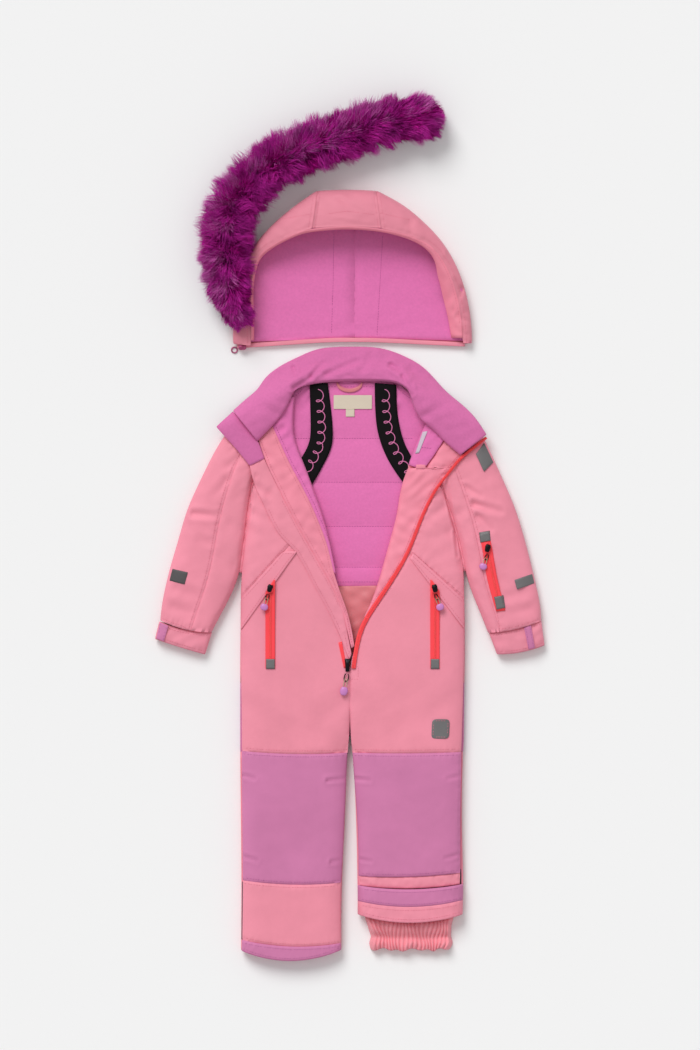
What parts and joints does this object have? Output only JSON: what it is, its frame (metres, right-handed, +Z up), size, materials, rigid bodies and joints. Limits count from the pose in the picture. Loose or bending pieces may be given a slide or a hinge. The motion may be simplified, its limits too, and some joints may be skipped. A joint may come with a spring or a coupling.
{
  "type": "toddler snowsuit",
  "caption": "Padded one-piece toddler snowsuit laid flat with its front unzipped, the hood detached above the collar and the fur ruff taken off the hood.",
  "frame": {"origin": "middle of the whole object's box, on the surface it lies on", "axes": "+Z up from the surface, +Y from the hems towards the hood and ruff, +X towards the wearer's left"},
  "size_m": [0.6206, 1.3888, 0.0656],
  "materials": {
    "shell": "matte coated polyester",
    "mauve": "matte coated polyester",
    "fleece": "short-pile fleece",
    "satin": "soft sheen lining",
    "zip": "coated zip tape",
    "webbing": "woven",
    "slider": "black enamel",
    "pull": "moulded",
    "ring": "enamel",
    "reflective": "reflective",
    "label": "woven",
    "fur": "long faux fur"
  },
  "bodies": {
    "suit": {"back_bodice": "shell", "back_seat": "mauve", "back_leg_right": "shell", "back_leg_left": "shell", "back_lining": "fleece", "seat_lining": "satin", "chest_right": "shell", "chest_left": "shell", "hip_right": "shell", "hip_left": "shell", "knee_right": "mauve", "knee_left": "mauve", "shin_right": "shell", "shin_left": "shell", "hem_right": "mauve", "hem_left": "mauve", "turn_up_left": "shell", "gaiter_left": "satin", "facing_right": "shell", "lining_edge_right": "fleece", "facing_left": "shell", "lining_edge_left": "fleece", "collar": "fleece", "storm_flap": "shell", "storm_flap_top": "fleece", "pocket_flap_right": "shell", "pocket_flap_left": "shell", "sleeve_under_right": "shell", "sleeve_upper_right": "shell", "sleeve_under_left": "shell", "sleeve_upper_left": "shell", "cuff_right": "shell", "cuff_tab_right": "mauve", "cuff_left": "shell", "cuff_tab_left": "mauve", "reflective_right": "reflective", "reflective_left": "reflective", "shoulder_patch": "reflective", "thigh_patch": "reflective", "pocket_zip_right": "zip", "pocket_zip_left": "zip", "sleeve_zip": "zip", "main_zip": "zip", "main_slider": "slider", "webbing_right": "webbing", "webbing_left": "webbing", "neck_label": "label", "hanger_loop": "satin", "hood_side_right": "shell", "hood_centre": "shell", "hood_side_left": "shell", "hood_lining": "fleece", "hood_facing": "shell", "hood_zip": "shell", "fur_ruff": "fur"},
    "main_pull": {"main_pull": "pull"},
    "pocket_pull_right": {"pocket_pull_right": "pull"},
    "pocket_pull_left": {"pocket_pull_left": "pull"},
    "sleeve_pull": {"sleeve_pull": "pull"},
    "hood_pull": {"hood_pull": "ring"}
  },
  "joints": [
    {"name": "main_pull_hinge", "type": "hinge", "parent": "suit", "child": "main_pull", "pos_m": [-0.00338, -0.23318, 0.0313], "axis": [-0.9839, 0.1789, 0], "range_deg": [0, 100]},
    {"name": "pocket_pull_right_hinge", "type": "hinge", "parent": "suit", "child": "pocket_pull_right", "pos_m": [-0.12929, -0.10696, 0.0339], "axis": [-0.9567, 0.2912, 0], "range_deg": [0, 100]},
    {"name": "pocket_pull_left_hinge", "type": "hinge", "parent": "suit", "child": "pocket_pull_left", "pos_m": [0.13694, -0.10694, 0.0339], "axis": [-0.9402, -0.3407, 0], "range_deg": [0, 100]},
    {"name": "sleeve_pull_hinge", "type": "hinge", "parent": "suit", "child": "sleeve_pull", "pos_m": [0.22095, -0.04384, 0.0272], "axis": [-0.938, 0.3467, 0], "range_deg": [0, 100]},
    {"name": "hood_pull_hinge", "type": "hinge", "parent": "suit", "child": "hood_pull", "pos_m": [-0.1803, 0.28504, 0.0012], "axis": [-0.5949, 0.8038, 0], "range_deg": [0, 90]}
  ]
}
